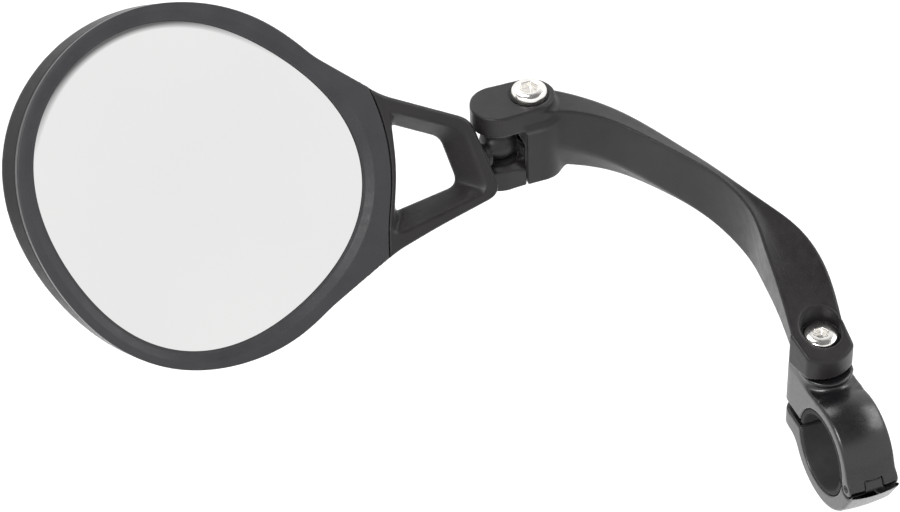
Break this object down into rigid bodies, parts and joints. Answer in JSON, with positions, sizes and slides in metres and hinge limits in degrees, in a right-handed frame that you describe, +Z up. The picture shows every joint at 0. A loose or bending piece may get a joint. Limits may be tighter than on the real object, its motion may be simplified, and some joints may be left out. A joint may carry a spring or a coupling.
{
  "type": "bicycle mirror",
  "caption": "Round bar-end bicycle mirror on a curved arm, with a screw-down ball joint and a hinged round-bar clamp that swivels under the arm.",
  "frame": {"origin": "on the flat left side face of the clamp, straight above the handlebar bore's axis, 14.5 mm from it", "axes": "+X along the handlebar, -Y towards the rider, +Z up along both adjusting screws"},
  "size_m": [0.2108, 0.1609, 0.1209],
  "materials": {
    "black_nylon": "fine spark texture, glass-filled nylon",
    "painted_clamp": "gloss black over aluminium",
    "polished_steel": "polished stainless",
    "insert_brass": "turned",
    "liner_rubber": "matt",
    "seat_rubber": "matt",
    "ball_plastic": "smooth",
    "mirror_glass": "flat silvered glass"
  },
  "bodies": {
    "clamp": {"clamp_upper": "painted_clamp", "liner_upper": "liner_rubber", "clamp_hinge_pin": "polished_steel", "swivel_disc": "liner_rubber"},
    "clamp_half": {"clamp_lower": "painted_clamp", "liner_lower": "liner_rubber"},
    "clamp_bolt": {"clamp_screw": "polished_steel", "clamp_screw_washer": "polished_steel"},
    "arm": {"arm": "black_nylon"},
    "jaw_bolt": {"jaw_screw": "polished_steel"},
    "jaw": {"lower_jaw": "black_nylon", "jaw_thread_insert": "insert_brass"},
    "seats": {"ball_seat_upper": "seat_rubber", "ball_seat_lower": "seat_rubber"},
    "ball": {"ball": "ball_plastic"},
    "head": {"rear_housing": "black_nylon", "front_bezel": "black_nylon", "mirror_glass": "mirror_glass", "glass_backing_pad": "seat_rubber", "ball_screw": "polished_steel", "neck_thread_insert": "insert_brass"}
  },
  "joints": [
    {"name": "clamp_screw_out", "type": "slide", "parent": "clamp", "child": "clamp_bolt", "axis": [0, 0, 1], "range_m": [0, 0.045]},
    {"name": "clamp_open", "type": "hinge", "parent": "clamp", "child": "clamp_half", "pos_m": [0.0075, -0.0154, -0.0145], "axis": [-1, 0, 0], "range_deg": [0, 80.5]},
    {"name": "arm_swivel", "type": "hinge", "parent": "clamp", "child": "arm", "pos_m": [0.0075, 0.0175, 0.0048], "axis": [0, 0, 1], "continuous": true},
    {"name": "jaw_screw_turn", "type": "hinge", "parent": "arm", "child": "jaw_bolt", "pos_m": [-0.0414, 0.1089, 0.0461], "axis": [0, 0, 1], "range_deg": [0, 432]},
    {"name": "jaw_release", "type": "slide", "parent": "arm", "child": "jaw", "axis": [0, 0, -1], "range_m": [0, 0.0014]},
    {"name": "mirror_yaw", "type": "hinge", "parent": "arm", "child": "seats", "pos_m": [-0.0513, 0.1089, 0.0327], "axis": [0, 0, 1], "range_deg": [-45, 40]},
    {"name": "mirror_tilt", "type": "hinge", "parent": "seats", "child": "ball", "pos_m": [-0.0513, 0.1089, 0.0327], "axis": [-0.5299, 0.848, 0], "range_deg": [-5, 10]},
    {"name": "mirror_roll", "type": "hinge", "parent": "ball", "child": "head", "pos_m": [-0.0513, 0.1089, 0.0327], "axis": [-0.848, -0.5299, 0], "range_deg": [-10, 25]}
  ],
  "couplings": [
    {"joint": "clamp_open", "follows": "clamp_screw_out", "rad_per_m": 31.03},
    {"joint": "jaw_release", "follows": "jaw_screw_turn", "m_per_rad": 0.00015915}
  ]
}
